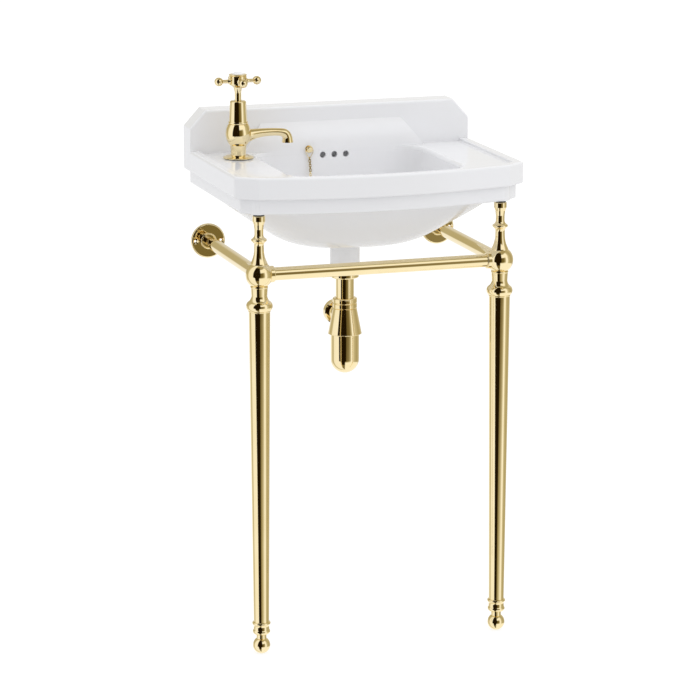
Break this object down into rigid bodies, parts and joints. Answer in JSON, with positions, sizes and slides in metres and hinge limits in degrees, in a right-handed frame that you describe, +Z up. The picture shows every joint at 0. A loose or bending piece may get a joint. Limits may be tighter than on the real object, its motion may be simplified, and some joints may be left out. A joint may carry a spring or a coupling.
{
  "type": "console sink with legs",
  "caption": "Console basin with a shaped upstand and bowed front on a turned brass two-leg stand, with a pillar tap, plug on a chain and bottle trap.",
  "frame": {"origin": "on the floor, under the middle of the basin's plan", "axes": "+X to the right as the user faces it, +Y towards the wall, +Z up"},
  "size_m": [0.51, 0.38, 0.9702],
  "materials": {
    "glazed_ware": "glossy white glaze",
    "polished_brass": "polished, warm gold",
    "black_rubber": "matt",
    "hidden_steel": "plain"
  },
  "bodies": {
    "basin_and_stand": {"basin": "glazed_ware", "tap_seal": "black_rubber", "waste_washer": "black_rubber", "trap_cup_washer": "black_rubber", "trap_outlet_seal": "black_rubber", "post_pad_left": "black_rubber", "post_pad_right": "black_rubber", "stay_nut": "hidden_steel", "tap_back_nut": "hidden_steel", "tap_body": "polished_brass", "tap_flange": "polished_brass", "tap_bonnet": "polished_brass", "chain_stay": "polished_brass", "chain_ring": "polished_brass", "plug_chain": "polished_brass", "waste_body": "polished_brass", "waste_grid": "polished_brass", "waste_nut": "polished_brass", "union_nut": "polished_brass", "tail_pipe": "polished_brass", "trap_inlet_nut": "polished_brass", "trap_bell": "polished_brass", "trap_dip_tube": "polished_brass", "trap_outlet_nut": "polished_brass", "ferrule_left": "polished_brass", "ferrule_right": "polished_brass", "leg_left": "polished_brass", "leg_right": "polished_brass", "corner_left": "polished_brass", "corner_right": "polished_brass", "rail_front": "polished_brass", "rail_left": "polished_brass", "rail_right": "polished_brass"},
    "tap_handle": {"tap_spindle": "polished_brass", "tap_handle": "polished_brass", "tap_handle_cap": "polished_brass", "tap_index": "glazed_ware"},
    "plug": {"plug": "black_rubber", "plug_cap": "polished_brass"},
    "trap_cup": {"trap_cup": "polished_brass"},
    "foot_left": {"foot_left": "polished_brass"},
    "foot_right": {"foot_right": "polished_brass"},
    "wall_flange_left": {"wall_flange_left": "polished_brass"},
    "wall_flange_right": {"wall_flange_right": "polished_brass"}
  },
  "joints": [
    {"name": "tap_handle_turn", "type": "hinge", "parent": "basin_and_stand", "child": "tap_handle", "pos_m": [-0.188, 0.078, 0.954], "axis": [0, 0, 1], "range_deg": [0, 90]},
    {"name": "plug_lift", "type": "slide", "parent": "basin_and_stand", "child": "plug", "axis": [0, 0, 1], "range_m": [0, 0.04], "deforming": ["plug_chain"]},
    {"name": "trap_cup_off", "type": "slide", "parent": "basin_and_stand", "child": "trap_cup", "axis": [0, 0, -1], "range_m": [0, 0.055]},
    {"name": "foot_left_level", "type": "slide", "parent": "basin_and_stand", "child": "foot_left", "axis": [0, 0, -1], "range_m": [-0.0045, 0.008]},
    {"name": "foot_right_level", "type": "slide", "parent": "basin_and_stand", "child": "foot_right", "axis": [0, 0, -1], "range_m": [-0.0045, 0.008]},
    {"name": "wall_flange_left_reach", "type": "slide", "parent": "basin_and_stand", "child": "wall_flange_left", "axis": [0, -1, 0], "range_m": [-0.005, 0.015]},
    {"name": "wall_flange_right_reach", "type": "slide", "parent": "basin_and_stand", "child": "wall_flange_right", "axis": [0, -1, 0], "range_m": [-0.005, 0.015]}
  ]
}
